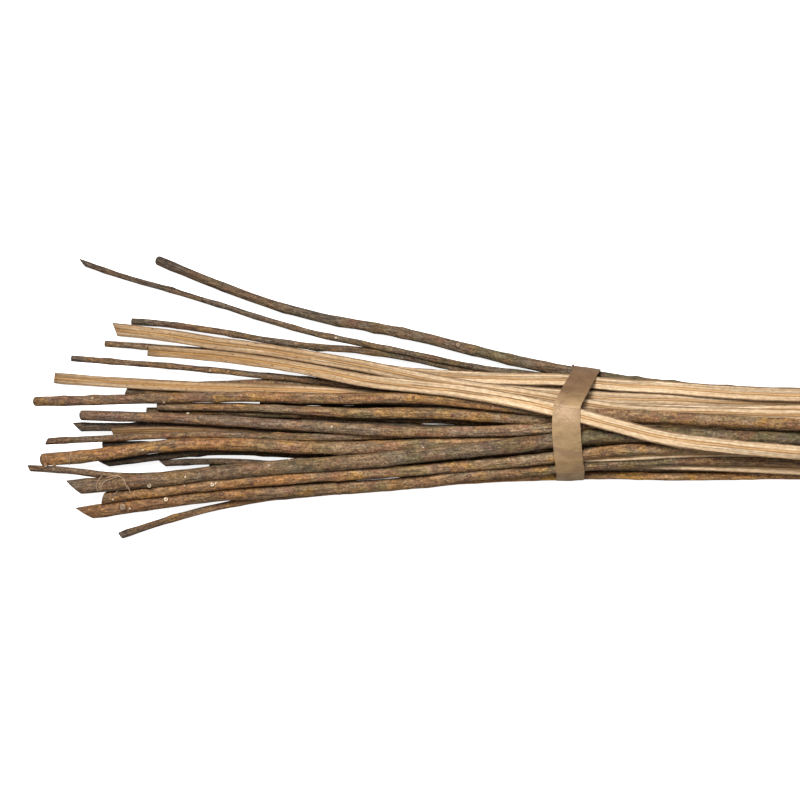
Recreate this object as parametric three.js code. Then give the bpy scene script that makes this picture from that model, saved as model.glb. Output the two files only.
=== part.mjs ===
// A bundle of cut twigs held by one strip of brown paper. It lies on its side on a flat surface.
//
// +X runs along the bundle, +Y across it and +Z up. The origin is the middle of the band's flat
// underside. Every twig is one closed solid: a six-sided section carried along its own gently
// curved route. Round twigs keep their bark all round. Split twigs are half of a round one, with
// a flat cut face. The routes say where each twig lies seen from above. How high it lies, and how
// it makes room for its neighbours, is worked out by settle().

import * as THREE from "three";

// Driving dimensions, in millimetres
const GAP = 0.45; // air kept between neighbours
const BAND_WIDTH = 25;
const BAND_THICKNESS = 0.7;
const BAND_CLEARANCE = 0.65;
const BAND_MARGIN = 3; // it also clears the twigs this far beyond its edges
const BAND_INNER_LINE = 0.2; // it also goes round the twigs here, as a share of its width
const BAND_FACETS = 40;
const BAND_LEAN = 22; // how far the band runs askew at the far side
const BAND_NEAR_LEAN = 5; // and at the near side
const STRAIGHT_PART = 0.12; // over the top it runs straight this far out, as a share of the half width
const BAND_BEND_END = 0.88; // and has all its lean from here
const BAND_BEND = 1.6; // how suddenly it leans over
const FLAT_HALF = 30; // it lies flat on the surface this far to each side
const PILE_AT_BAND = 52; // height of the bundle where it is tied
const PILE_AT_LEFT = 27; // and at its spread ends
const PILE_AT_RIGHT = 36;
const LEFT_REACH = 480; // how far the longest twigs reach from the band
const RIGHT_REACH = 470;
const HALF_SPREAD = { band: 54, left: 125, right: 66 };
const SHIFT_AT_RIGHT = -14; // the middle of the pile there
const FLATNESS = 0.12; // how little the pile thins out at its sides: its height squared, as a share

const SIDES = 6;
const ROUND_OFF = 1.07; // outer radius of a six-sided section over the twig's own radius
const STATIONS = [
  -450, -405, -360, -315, -270, -225, -180, -135, -90, -45, 0, 45, 90, 150, 210, 300, 390,
];
const SHORTEST_STEP = 12; // no two sections of a twig stand closer than this
const FACE_OFFSET = 0.45; // a split face stands this far over its twig's middle, as a share of its radius

// How settle() works
const PLANE_STEP = 9; // about this far between the planes that are kept clear
const ROUNDS = 260;
const QUIET_ROUNDS = 110; // the last rounds, with no pull back to the planned places
const PULL = 0.06;
const STIFFNESS = 0.35; // share of each bend's change that is evened out in a round
const HIDDEN_BELOW = 0.25; // twigs lower in the pile than this move sideways most
const SIDEWAYS_COST = 2.2; // twigs slide over each other before they move sideways

// The twigs: kind, radius at the left end, at the band and at the right end, how high in the pile
// (0 lies on the surface, 1 on top; one value, or three as for the radius), the slant of the left
// and right cut, and the route as seen from above. A split twig has a roll too: how far its cut
// face turns from facing up, in degrees, at the left and right end.
const TWIGS = [
  { kind: "bark", radius: [3.5, 5, 4.4], rise: [0.55, 0.5, 0.3], cut: [0, 0.4],
    route: [[-370, 145.3], [-328, 128], [-284, 111], [-238, 97], [-202, 89], [-148, 79],
      [-112, 70.5], [-76, 61.2], [-40, 52.2], [0, 44.3], [34, 37.8], [62, 33.2], [86, 30.2],
      [122, 26.4], [158, 24.2], [212, 22], [455, 28]] },
  { kind: "bark", radius: [2.4, 2.7, 3], rise: [0.78, 0.5, 0.4], cut: [-2.6, 0.3],
    route: [[-434, 141.5], [-400, 130], [-328, 109], [-238, 81], [-202, 73], [-148, 61.5],
      [-94, 50], [-58, 44.5], [0, 37], [68, 27], [212, 20], [440, 25]] },
  { kind: "bark", radius: [2.7, 3.2, 3.6], rise: [0.5, 0.35, 0.3], cut: [0, -0.5],
    route: [[-392, 89], [-346, 85], [-238, 67.5], [-202, 65], [-148, 58.5], [-112, 50],
      [-58, 40], [0, 31], [122, 19.5], [212, 15], [462, 19]] },
  { kind: "split", radius: [4.4, 5.2, 6.6], rise: [0.85], roll: [0, 4], cut: [0, -0.4],
    route: [[-240, 57], [-184, 48], [-148, 42.5], [-104, 39], [-58, 37], [0, 36], [32, 32.7],
      [76, 29.8], [122, 26.8], [158, 24], [212, 22.3], [466, 28]] },
  { kind: "split", radius: [4.2, 4.4, 4.6], rise: [0.6, 0.45, 0.45], roll: [0, 4], cut: [0, 0.2],
    route: [[-212, 39], [-148, 32.5], [-76, 29.5], [0, 27.5], [32, 24.2], [122, 18.5], [212, 15],
      [452, 15]] },
  { kind: "split", radius: [4.4, 5.1, 5.4], rise: [0.72, 0.8, 0.8], roll: [0, -4], cut: [0, -0.7],
    route: [[-262, 51], [-238, 47], [-202, 39.5], [-166, 33.5], [-148, 31.5], [-76, 27],
      [-14, 21.5], [32, 16.6], [76, 15.6], [122, 13.6], [212, 11.8], [436, 9.5]] },
  { kind: "split", radius: [5.5, 5.2, 5], rise: [0.95, 0.9, 0.2], roll: [0, 0], cut: [-0.6, 0.5],
    route: [[-407, 82], [-364, 77], [-328, 71], [-274, 64], [-220, 55], [-184, 48.5], [-148, 41],
      [-112, 33], [-58, 25], [0, 14], [68, 5], [212, 0], [446, -2]] },
  { kind: "bark", radius: [2.6, 2.9, 3.2], rise: [0.45], cut: [0, 0.6],
    route: [[-416, 68.7], [-374, 66], [-284, 57.5], [-194, 42], [-104, 29], [0, 14.5], [122, 9],
      [212, 6], [428, 10]] },
  { kind: "split", radius: [4.3, 6.1, 6.4], rise: [1.15, 1.22, 1], roll: [0, 0], cut: [0, -0.3],
    route: [[-376, 62.5], [-328, 59], [-274, 52.5], [-238, 47], [-202, 39.5], [-166, 33.5],
      [-130, 30], [-76, 23.2], [-22, 12.6], [22, 2.2], [76, -12.4], [122, -19.6], [158, -22.6],
      [212, -26], [446, -40]] },
  { kind: "bark", radius: [2.6, 2.8, 3], rise: [0.62], cut: [0, -0.6],
    route: [[-446, 55.5], [-400, 52], [-328, 46], [-274, 40.5], [-220, 35.5], [-148, 28],
      [-76, 21], [0, 11], [122, 2], [212, -4], [456, -9]] },
  { kind: "split", radius: [4.8, 4.4, 4.4], rise: [0.6], roll: [-10, -40], cut: [0, 0.4],
    route: [[-461, 37.3], [-400, 33], [-328, 29], [-238, 26], [-148, 20.5], [-58, 14.5], [0, 9],
      [122, 4], [212, 5], [446, 13]] },
  { kind: "bark", radius: [2.9, 3.2, 3.6], rise: [0.4, 0.6, 0.6], cut: [0.3, 0.5],
    route: [[-350, 31], [-316, 32], [-280, 33.8], [-238, 33], [-184, 29.5], [-148, 26],
      [-58, 17], [0, 7], [122, -4], [212, -9], [432, -12]] },
  { kind: "bark", radius: [4.2, 5, 5.4], rise: [0.9], cut: [0, -0.4],
    route: [[-480, 16.5], [-418, 17.8], [-346, 20], [-292, 21], [-202, 19.5], [-148, 20],
      [-112, 18.5], [-76, 15], [0, 6], [76, -1], [212, -10], [454, -19]] },
  { kind: "bark", radius: [4.2, 4.4, 4.6], rise: [0.4], cut: [0.3, 0.2],
    route: [[-396, 25.5], [-328, 23], [-238, 20.5], [-148, 16], [0, 0], [122, -7], [212, -12],
      [462, -24]] },
  { kind: "bark", radius: [2.4, 5.8, 5.8], rise: [0.68], cut: [0, 0.5],
    route: [[-368, 12], [-292, 11.5], [-256, 10], [-184, 6.5], [-112, 7], [-58, 4.5], [-14, 2],
      [32, 7], [68, 8], [122, 6], [212, 1], [466, -2]] },
  { kind: "bark", radius: [3.8, 3.9, 4], rise: [0.34], cut: [0.4, -0.6],
    route: [[-274, 19], [-148, 17.5], [-104, 15], [-58, 11], [-22, 5.5], [32, -4], [122, -9],
      [212, -14], [436, -18]] },
  { kind: "bark", radius: [3, 3.3, 3.6], rise: [0.36], cut: [0, 0.3],
    route: [[-378, 7.5], [-328, 6], [-238, 2.5], [-148, 0.5], [-58, -2], [0, -4.5], [122, -3.5],
      [418, -3.5]] },
  { kind: "bark", radius: [4.3, 4.8, 5.2], rise: [0.86], cut: [0, -0.5],
    route: [[-438, 4], [-364, 2], [-292, -1.5], [-220, -6], [-148, -10], [-104, -10], [-58, -8],
      [-14, -5], [32, 0.5], [68, 2], [122, -0.5], [176, -3.5], [212, -5], [462, -10]] },
  { kind: "bark", radius: [3.6, 3.7, 3.8], rise: [0.3], cut: [0.5, 0.4],
    route: [[-238, 1], [-202, -1], [-148, -5], [-104, -7.5], [0, -12], [122, -18], [212, -21],
      [436, -27]] },
  { kind: "bark", radius: [3.6, 3.8, 4], rise: [0.4], cut: [-1, 0.3],
    route: [[-441, -7.2], [-374, -7.4], [-328, -7.4], [-238, -12.5], [-148, -18], [0, -24],
      [122, -27], [428, -36]] },
  { kind: "split", radius: [3.8, 4.2, 4.6], rise: [0.55], roll: [16, 150], cut: [-0.3, -0.4],
    route: [[-409, -9.5], [-382, -8], [-328, -9], [-274, -12], [-148, -21], [0, -29], [122, -32],
      [212, -34], [450, -47]] },
  { kind: "bark", radius: [2.8, 3.5, 4.2], rise: [0.62], cut: [0.46, 0.6],
    route: [[-468, -19.5], [-436, -17.5], [-400, -16], [-364, -14], [-328, -12.5], [-256, -13.5],
      [-184, -13.5], [-104, -12.5], [0, -10], [122, -11], [212, -14], [416, -18]] },
  { kind: "bark", radius: [5.5, 5.6, 5.4], rise: [0.8], cut: [0, -0.3],
    route: [[-474, -37.3], [-436, -33.8], [-400, -29.2], [-364, -24], [-328, -21.5], [-292, -22.5],
      [-238, -25], [-202, -26.5], [-148, -25], [-76, -22.5], [0, -20.5], [122, -23.5],
      [212, -27], [446, -32]] },
  { kind: "bark", radius: [3, 3.2, 3.4], rise: [0.3], cut: [0, 0.4],
    route: [[-418, -22.5], [-364, -22.5], [-292, -23.5], [-220, -26], [-148, -31.5], [0, -37],
      [122, -39], [212, -41], [452, -55]] },
  { kind: "bark", radius: [6.4, 6.2, 6], rise: [1], cut: [-0.9, 0.5],
    route: [[-443, -60.6], [-428, -60], [-400, -56], [-364, -53], [-328, -48.5], [-292, -45],
      [-238, -40.5], [-202, -38], [-148, -32], [-94, -25.5], [-58, -22], [-14, -15.5],
      [32, -11], [68, -10], [122, -10], [176, -12.5], [212, -14.5], [466, -22]] },
  { kind: "bark", radius: [2.8, 3, 3.2], rise: [0.7], cut: [-0.5, -0.5],
    route: [[-484, -42.9], [-454, -45], [-418, -50.5], [-374, -52], [-284, -45], [-148, -34],
      [0, -29], [122, -27], [212, -26], [436, -24]] },
  { kind: "bark", radius: [3.2, 3.6, 4], rise: [0.3], cut: [-1.2, 0.3],
    route: [[-418, -39.5], [-382, -35], [-328, -28.5], [-292, -27], [-238, -31], [-148, -36],
      [0, -41], [122, -42], [212, -43], [418, -49]] },
  { kind: "bark", radius: [2.7, 3, 3.2], rise: [0.3], cut: [-1, -0.4],
    route: [[-364, -39.5], [-328, -38], [-292, -39], [-238, -43], [-148, -43], [0, -45],
      [122, -46], [212, -44], [440, -43]] },
  { kind: "bark", radius: [4.9, 4.7, 4.8], rise: [0.72, 0.7, 0.8], cut: [0.6, 0.2],
    route: [[-416, -71], [-400, -67.8], [-374, -65], [-328, -59.4], [-292, -55.6], [-238, -51.4],
      [-202, -49], [-148, -45.8], [-76, -40], [-40, -35.5], [-14, -32], [32, -25.5],
      [68, -22.5], [122, -20], [212, -18], [457, -29]] },
  { kind: "bark", radius: [5.9, 4.9, 4.4], rise: [0.78, 0.7, 0.7], cut: [-1.2, -0.6],
    route: [[-434, -83.4], [-418, -81], [-398, -77.8], [-364, -72.8], [-328, -67], [-292, -63.2],
      [-238, -58], [-148, -51.4], [-76, -43.5], [-14, -39], [32, -36], [68, -33], [104, -31.5],
      [140, -31.5], [212, -32.5], [448, -46]] },
  { kind: "bark", radius: [2.9, 3.3, 3.8], rise: [0.35], cut: [-0.3, 0.4],
    route: [[-402, -105], [-364, -92.3], [-328, -82.4], [-292, -74.5], [-256, -68.8], [-220, -65.6],
      [-148, -59.5], [-112, -55.5], [-58, -51], [-14, -48], [32, -47.8], [122, -48],
      [166, -46.5], [212, -45], [462, -60]] },
  { kind: "bark", radius: [3.8, 4, 4.2], rise: [0.5], cut: [0, 0.5],
    route: [[-328, -52], [-238, -47.5], [-166, -41], [-112, -36], [-58, -31], [-14, -24],
      [32, -20], [122, -20], [212, -23], [428, -13]] },
  { kind: "split", radius: [4.2, 4.9, 5.4], rise: [0.6, 0.74, 0.8], roll: [0, -14], cut: [0, -0.4],
    route: [[-292, -56], [-148, -49], [-76, -45.5], [-14, -42], [32, -39], [76, -37.5],
      [122, -37], [166, -38], [212, -39], [466, -53]] },
  { kind: "split", radius: [3.4, 3.6, 4], rise: [0.74, 0.82, 0.85], roll: [0, -8], cut: [0.2, 0.3],
    route: [[-300, -53], [-148, -45], [-58, -39], [0, -35], [32, -32.5], [68, -29], [104, -26],
      [140, -25], [212, -23.5], [434, -28]] },
  { kind: "bark", radius: [4.4, 4.5, 4.6], rise: [0.08], cut: [0.2, -0.4],
    route: [[-330, 29], [-148, 26], [0, 23], [212, 8], [440, 5]] },
  { kind: "bark", radius: [4, 4.4, 4.8], rise: [0.06], cut: [0, 0.5],
    route: [[-352, 10], [-148, 6], [0, 19], [212, 2], [458, -12]] },
  { kind: "split", radius: [4.8, 5, 5.2], rise: [0.2], roll: [170, 185], cut: [0.3, -0.2],
    route: [[-345, 0], [-148, 3], [0, 10], [212, -8], [430, 0]] },
  { kind: "bark", radius: [4.2, 4.3, 4.4], rise: [0.04], cut: [-0.3, 0.3],
    route: [[-358, -15], [-148, -13], [0, 0], [212, -12], [448, -30]] },
  { kind: "bark", radius: [4.6, 4.8, 5], rise: [0.06], cut: [0.4, -0.5],
    route: [[-336, -24], [-148, -24], [0, -12], [212, -24], [424, -36]] },
  { kind: "split", radius: [4.4, 4.7, 5], rise: [0.16], roll: [160, 200], cut: [0, 0.4],
    route: [[-350, -20], [-148, -16], [0, -20], [212, -20], [456, -6]] },
  { kind: "bark", radius: [4, 4.2, 4.4], rise: [0.05], cut: [0.2, 0.2],
    route: [[-322, -44], [-148, -38], [0, -26], [212, -34], [442, -44]] },
  { kind: "bark", radius: [3.6, 3.9, 4.2], rise: [0.22], cut: [-0.4, -0.3],
    route: [[-224, 38], [-148, 33], [0, 20], [212, 12], [426, 16]] },
];

const COLOURS = {
  bark: ["#6d5744", "#7a6047", "#5f5346", "#836645", "#6b6048"],
  split: ["#c6a273", "#cfae80"],
  band: "#ad8a61",
};

// Small helpers

const clamp = (value, low, high) => Math.min(high, Math.max(low, value));
const mix = (a, b, share) => a + (b - a) * share;
const degrees = (value) => (value * Math.PI) / 180;

/** A smooth curve through [x, y] points with rising x. */
function curveThrough(points) {
  const last = points.length - 1;
  const slopeAt = (i) => {
    const [a, b] = [points[Math.max(0, i - 1)], points[Math.min(last, i + 1)]];
    return (b[1] - a[1]) / (b[0] - a[0]);
  };
  const slopes = points.map((_, i) => slopeAt(i));
  return (x) => {
    const found = points.findIndex((p) => p[0] > x);
    const i = found < 0 ? last - 1 : Math.max(0, found - 1);
    const step = points[i + 1][0] - points[i][0];
    const t = (x - points[i][0]) / step;
    if (t < 0) return points[0][1] + slopes[0] * (x - points[0][0]);
    if (t > 1) return points[last][1] + slopes[last] * (x - points[last][0]);
    const [y0, y1, m0, m1] = [points[i][1], points[i + 1][1], slopes[i] * step, slopes[i + 1] * step];
    const [t2, t3] = [t * t, t * t * t];
    return y0 * (2 * t3 - 3 * t2 + 1) + m0 * (t3 - 2 * t2 + t) + y1 * (3 * t2 - 2 * t3) + m1 * (t3 - t2);
  };
}

// The pile that the twigs lie in

/** Height of the top of the pile at a place seen from above. */
function pileTop(x, y) {
  const side = x < 0 ? "left" : "right";
  const along = clamp(Math.abs(x) / (x < 0 ? LEFT_REACH : RIGHT_REACH), 0, 1);
  const height = mix(PILE_AT_BAND, x < 0 ? PILE_AT_LEFT : PILE_AT_RIGHT, along);
  const middle = x > 0 ? mix(0, SHIFT_AT_RIGHT, along) : 0;
  const half = mix(HALF_SPREAD.band, HALF_SPREAD[side], along);
  return height * Math.sqrt(Math.max(FLATNESS, 1 - ((y - middle) / half) ** 2));
}

/** The lowest that a twig may lie: on the paper where the band is, else on the surface. */
function surfaceUnder(x) {
  return x > -BAND_WIDTH && x < BAND_WIDTH + BAND_LEAN ? BAND_THICKNESS + GAP : 0;
}

/** A value given at one, two or three even places along the bundle, read at x. */
function alongBundle(values, x) {
  const spans = values.length - 1;
  const share = clamp((x + LEFT_REACH) / (LEFT_REACH + RIGHT_REACH), 0, 1) * spans;
  const i = Math.min(Math.floor(share), Math.max(0, spans - 1));
  return spans ? mix(values[i], values[i + 1], share - i) : values[0];
}

/** Outline of a twig across its length, as [y, z] offsets from its middle. */
function sectionOf(twig, x) {
  const radius = alongBundle(twig.radius, x);
  const split = twig.kind === "split";
  const roll = degrees(split ? alongBundle(twig.roll, x) : 0);
  const outline = [];
  for (let i = 0; i < SIDES; i += 1) {
    const turn = split ? Math.PI + (i * Math.PI) / (SIDES - 1) : ((i + 0.5) * 2 * Math.PI) / SIDES;
    const y = Math.cos(turn) * radius * (split ? 1 : ROUND_OFF);
    const z = Math.sin(turn) * radius * (split ? 1 : ROUND_OFF) + (split ? FACE_OFFSET * radius : 0);
    outline.push([y * Math.cos(roll) - z * Math.sin(roll), y * Math.sin(roll) + z * Math.cos(roll)]);
  }
  return outline;
}

/** A twig with its rings of vertices still at their planned places. */
function planTwig(row) {
  const plan = curveThrough(row.route);
  const reach = row.cut.map((slant, end) => Math.abs(slant) * row.radius[2 * end]);
  const ends = [row.route[0][0] - reach[0], row.route.at(-1)[0] + reach[1]];
  const inner = STATIONS.filter((x) => x > ends[0] + SHORTEST_STEP && x < ends[1] - SHORTEST_STEP);
  const places = [ends[0], ...inner, ends[1]];
  const rings = places.map((x) => {
    const y = plan(x);
    const radius = alongBundle(row.radius, x);
    const room = Math.max(0, pileTop(x, y) - 2 * radius);
    const z = radius + surfaceUnder(x) + alongBundle(row.rise, x) * room;
    return { x, y, z, planY: y, planZ: z, outline: sectionOf(row, x) };
  });
  return { ...row, ends, rings, free: row.rise[0] < HIDDEN_BELOW ? 1 : 0.3 };
}

/** Where a twig is at x: its two nearest rings, the share between them, middle and outline. */
function sliceAt(twig, x) {
  if (x < twig.ends[0] || x > twig.ends[1]) return null;
  const next = Math.max(1, twig.rings.findIndex((ring) => ring.x >= x));
  const [a, b] = [twig.rings[next - 1], twig.rings[next]];
  const share = (x - a.x) / (b.x - a.x);
  const outline = a.outline.map(([y, z], i) => {
    const [toY, toZ] = b.outline[i];
    return [mix(y, toY, share), mix(z, toZ, share)];
  });
  return { twig, a, b, share, y: mix(a.y, b.y, share), z: mix(a.z, b.z, share), outline };
}

/** Moves a slice by moving the two rings that it hangs between. */
function shift(slice, y, z) {
  const { a, b, share } = slice;
  const weight = (1 - share) ** 2 + share ** 2;
  a.y += (y * (1 - share)) / weight;
  a.z += (z * (1 - share)) / weight;
  b.y += (y * share) / weight;
  b.z += (z * share) / weight;
  slice.y += y;
  slice.z += z;
}

/** The cheapest direction that parts two outlines, and how much air there is along it. */
function parting(one, other) {
  let best = null;
  for (const [outline, sign] of [[one.outline, 1], [other.outline, -1]]) {
    outline.forEach(([y0, z0], i) => {
      const [y1, z1] = outline[(i + 1) % SIDES];
      const length = Math.hypot(y1 - y0, z1 - z0);
      const [ny, nz] = [(sign * (z1 - z0)) / length, (sign * (y0 - y1)) / length];
      const far = Math.max(...one.outline.map(([y, z]) => (one.y + y) * ny + (one.z + z) * nz));
      const near = Math.min(...other.outline.map(([y, z]) => (other.y + y) * ny + (other.z + z) * nz));
      const air = near - far;
      const score = air > GAP ? air : (air - GAP) * (1 + SIDEWAYS_COST * Math.abs(ny));
      if (!best || score > best.score) best = { score, air, ny, nz };
    });
  }
  return best;
}

/** Pushes two slices apart until there is air between them. */
function part(one, other) {
  const spread = Math.hypot(one.y - other.y, one.z - other.z);
  if (spread > one.size + other.size + GAP) return;
  const { air, ny, nz } = parting(one, other);
  const push = GAP - air;
  if (push <= 0) return;
  const share = one.twig.free / (one.twig.free + other.twig.free);
  shift(one, -push * ny * share, -push * nz * 0.5);
  shift(other, push * ny * (1 - share), push * nz * 0.5);
}

/** One round of parting on every plane across the bundle. */
function partAll(twigs, planes) {
  for (const x of planes) {
    const slices = twigs.map((twig) => sliceAt(twig, x)).filter(Boolean);
    for (const slice of slices) {
      slice.size = Math.max(...slice.outline.map(([y, z]) => Math.hypot(y, z)));
      slice.low = Math.min(...slice.outline.map(([, z]) => z));
    }
    slices.forEach((one, i) => slices.slice(i + 1).forEach((other) => part(one, other)));
    for (const slice of slices) {
      const sunk = surfaceUnder(x) - slice.z - slice.low;
      if (sunk > 0) shift(slice, 0, sunk);
    }
  }
}

/** Keeps a twig springy: evens out how its departure from the plan changes along it. */
function straighten({ rings }, stiffness) {
  const away = rings.map(({ y, z, planY, planZ }) => [y - planY, z - planZ]);
  rings.forEach((ring, i) => {
    const [before, after] = [away[Math.max(0, i - 1)], away[Math.min(rings.length - 1, i + 1)]];
    ring.y += stiffness * ((before[0] + after[0]) / 2 - away[i][0]);
    ring.z += stiffness * ((before[1] + after[1]) / 2 - away[i][1]);
  });
}

/** The planes across the bundle that are kept clear: each station, each end and some between. */
function planesAcross(twigs) {
  const stations = [...STATIONS, ...twigs.flatMap((twig) => twig.ends)].sort((a, b) => a - b);
  return stations.flatMap((x, i) => {
    const gap = (stations[i + 1] ?? x) - x;
    const parts = Math.max(1, Math.round(gap / PLANE_STEP));
    return Array.from({ length: parts }, (_, k) => x + (k * gap) / parts);
  });
}

/** Lets the pile find its shape: twigs part, stay springy and drift back to their plan. */
function settle(twigs) {
  const planes = planesAcross(twigs);
  for (let round = 0; round < ROUNDS; round += 1) {
    const calm = Math.max(0, 1 - round / (ROUNDS - QUIET_ROUNDS));
    for (const twig of twigs) {
      for (const ring of twig.rings) {
        ring.y += PULL * calm * (ring.planY - ring.y);
        ring.z += PULL * calm * (ring.planZ - ring.z);
      }
      straighten(twig, STIFFNESS * calm);
    }
    partAll(twigs, planes);
  }
}

// Solids

/** A closed body from rings of vertices, with flat ends. */
function solidFromRings(rings) {
  const positions = rings.flat(2);
  const count = rings[0].length;
  const faces = [];
  for (let ring = 0; ring + 1 < rings.length; ring += 1) {
    for (let i = 0; i < count; i += 1) {
      const [a, b] = [ring * count + i, ring * count + ((i + 1) % count)];
      faces.push(a, b, b + count, a, b + count, a + count);
    }
  }
  const last = (rings.length - 1) * count;
  for (let i = 1; i + 1 < count; i += 1) {
    faces.push(0, i + 1, i);
    faces.push(last, last + i, last + i + 1);
  }
  return geometryOf(positions, faces);
}

function geometryOf(positions, faces) {
  const geometry = new THREE.BufferGeometry();
  geometry.setAttribute("position", new THREE.Float32BufferAttribute(positions, 3));
  geometry.setIndex(faces);
  geometry.computeVertexNormals();
  return geometry;
}

/** The rings of one twig, the end ones slid along it to make the slanted cuts. */
function twigGeometry(twig) {
  const { rings, cut } = twig;
  const last = rings.length - 1;
  const placed = rings.map((ring, i) => {
    const end = i === 0 ? 0 : 1;
    const slant = i === 0 || i === last ? cut[end] : 0;
    const inner = rings[end === 0 ? 1 : last - 1];
    const step = inner.x - ring.x;
    const [slopeY, slopeZ] = slant ? [(inner.y - ring.y) / step, (inner.z - ring.z) / step] : [0, 0];
    const inwards = end === 0 ? 1 : -1;
    const most = Math.max(...ring.outline.map(([y]) => inwards * -slant * y));
    return ring.outline.map(([y, z]) => {
      const slide = slant * y + inwards * most;
      return [ring.x + slide, ring.y + y + slopeY * slide, ring.z + z + slopeZ * slide];
    });
  });
  return solidFromRings(placed);
}

// The paper band

/** How far along X the middle of the band stands where it passes a place across the bundle. */
function leanAt(y, overTop) {
  const across = y / HALF_SPREAD.band;
  if (!overTop) return mix(BAND_NEAR_LEAN, BAND_LEAN, clamp((across + 1) / 2, 0, 1));
  const past = Math.max(0, Math.abs(across) - STRAIGHT_PART) / (BAND_BEND_END - STRAIGHT_PART);
  return Math.min(1, past) ** BAND_BEND * (across > 0 ? BAND_LEAN : BAND_NEAR_LEAN);
}

/** The twigs' outlines under one edge of the band, as [y, z] points that the paper goes round. */
function pointsUnder(twigs, side) {
  return twigs.flatMap((twig) => {
    const { y } = sliceAt(twig, 0);
    const leans = [true, false].map((overTop) => leanAt(y, overTop));
    const inner = side * BAND_INNER_LINE * BAND_WIDTH;
    const outer = side * (0.5 * BAND_WIDTH + BAND_MARGIN);
    return leans.flatMap((lean) => [lean + inner, lean + outer]).flatMap((x) => {
      const slice = sliceAt(twig, x);
      return slice.outline.map(([dy, dz]) => [slice.y + dy, slice.z + dz]);
    });
  });
}

/** A taut loop round [y, z] points: one straight side for each direction that it faces. */
function tautLoop(points, wall) {
  const step = (2 * Math.PI) / BAND_FACETS;
  const facing = Array.from({ length: BAND_FACETS }, (_, i) => [Math.cos(i * step), Math.sin(i * step)]);
  const reach = facing.map(([ny, nz]) => Math.max(...points.map(([y, z]) => y * ny + z * nz)) + wall);
  return facing.map(([ny, nz], i) => {
    const j = (i + 1) % BAND_FACETS;
    const [my, mz] = facing[j];
    const y = (reach[i] * mz - reach[j] * nz) / Math.sin(step);
    const z = (reach[j] * ny - reach[i] * my) / Math.sin(step);
    return [y, z];
  });
}

/** The band: one wall of even thickness round the twigs, flat where it lies on the surface. */
function bandGeometry(twigs) {
  const lowest = BAND_THICKNESS + BAND_CLEARANCE;
  const ground = [[-FLAT_HALF, lowest], [FLAT_HALF, lowest]];
  const under = [-1, 1].map((side) => [...pointsUnder(twigs, side), ...ground]);
  const ring = (end, wall) => {
    const points = under[end].map(([y, z]) => [y, Math.max(lowest, z)]);
    return tautLoop(points, wall).map(([y, z]) => {
      const x = leanAt(y, z > PILE_AT_BAND / 2) + (end - 0.5) * BAND_WIDTH;
      return [x, y, z];
    });
  };
  const outside = BAND_CLEARANCE + BAND_THICKNESS;
  const rings = [ring(0, BAND_CLEARANCE), ring(0, outside), ring(1, outside), ring(1, BAND_CLEARANCE)];
  const count = BAND_FACETS;
  const faces = [];
  for (let i = 0; i < rings.length * count; i += 1) {
    const [row, column] = [Math.floor(i / count), i % count];
    const [nextRow, nextColumn] = [(row + 1) % rings.length, (column + 1) % count];
    const corner = (r, c) => r * count + c;
    faces.push(corner(row, column), corner(row, nextColumn), corner(nextRow, nextColumn));
    faces.push(corner(row, column), corner(nextRow, nextColumn), corner(nextRow, column));
  }
  return geometryOf(rings.flat(2), faces);
}

// The bundle

function namedMesh(name, geometry, colour, roughness) {
  const material = new THREE.MeshStandardMaterial({ color: colour, roughness, metalness: 0 });
  const mesh = new THREE.Mesh(geometry, material);
  mesh.name = name;
  return mesh;
}

function buildBundle() {
  const bundle = new THREE.Group();
  const twigs = TWIGS.map(planTwig);
  settle(twigs);
  const made = { bark: 0, split: 0 };
  for (const twig of twigs) {
    made[twig.kind] += 1;
    const number = String(made[twig.kind]).padStart(2, "0");
    const shades = COLOURS[twig.kind];
    const name = `${twig.kind === "bark" ? "round" : "split"}_twig_${number}`;
    bundle.add(namedMesh(name, twigGeometry(twig), shades[made[twig.kind] % shades.length], 0.85));
  }
  bundle.add(namedMesh("paper_band", bandGeometry(twigs), COLOURS.band, 0.75));
  return bundle;
}

export default buildBundle();
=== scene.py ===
"""A bundle of cut twigs held by a strip of brown paper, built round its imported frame."""

import math
import random

import bpy
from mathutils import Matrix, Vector


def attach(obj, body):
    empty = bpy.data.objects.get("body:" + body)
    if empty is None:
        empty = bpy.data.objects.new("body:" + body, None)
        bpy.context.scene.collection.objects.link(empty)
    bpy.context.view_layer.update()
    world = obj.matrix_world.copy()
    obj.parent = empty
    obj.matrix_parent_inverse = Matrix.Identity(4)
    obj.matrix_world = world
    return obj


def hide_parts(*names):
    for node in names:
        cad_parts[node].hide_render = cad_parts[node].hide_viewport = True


bl_info = {
    "name": "Bundle of Twigs",
    "version": (1, 0, 0),
    "blender": (4, 5, 0),
    "location": "View3D > Sidebar > Twigs",
    "description": "Builds a bundle of round and split twigs held by a strip of brown paper",
    "category": "Add Mesh",
}

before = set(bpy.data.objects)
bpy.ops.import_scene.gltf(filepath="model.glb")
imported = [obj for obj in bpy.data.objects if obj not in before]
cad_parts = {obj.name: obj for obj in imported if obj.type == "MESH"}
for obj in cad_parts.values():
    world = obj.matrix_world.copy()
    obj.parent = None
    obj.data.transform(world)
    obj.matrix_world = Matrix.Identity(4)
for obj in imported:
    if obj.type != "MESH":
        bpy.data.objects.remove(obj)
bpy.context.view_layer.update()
ROUND_TWIGS = sorted(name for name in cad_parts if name.startswith("round_twig"))
SPLIT_TWIGS = sorted(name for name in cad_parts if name.startswith("split_twig"))
BAND = "paper_band"

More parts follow.
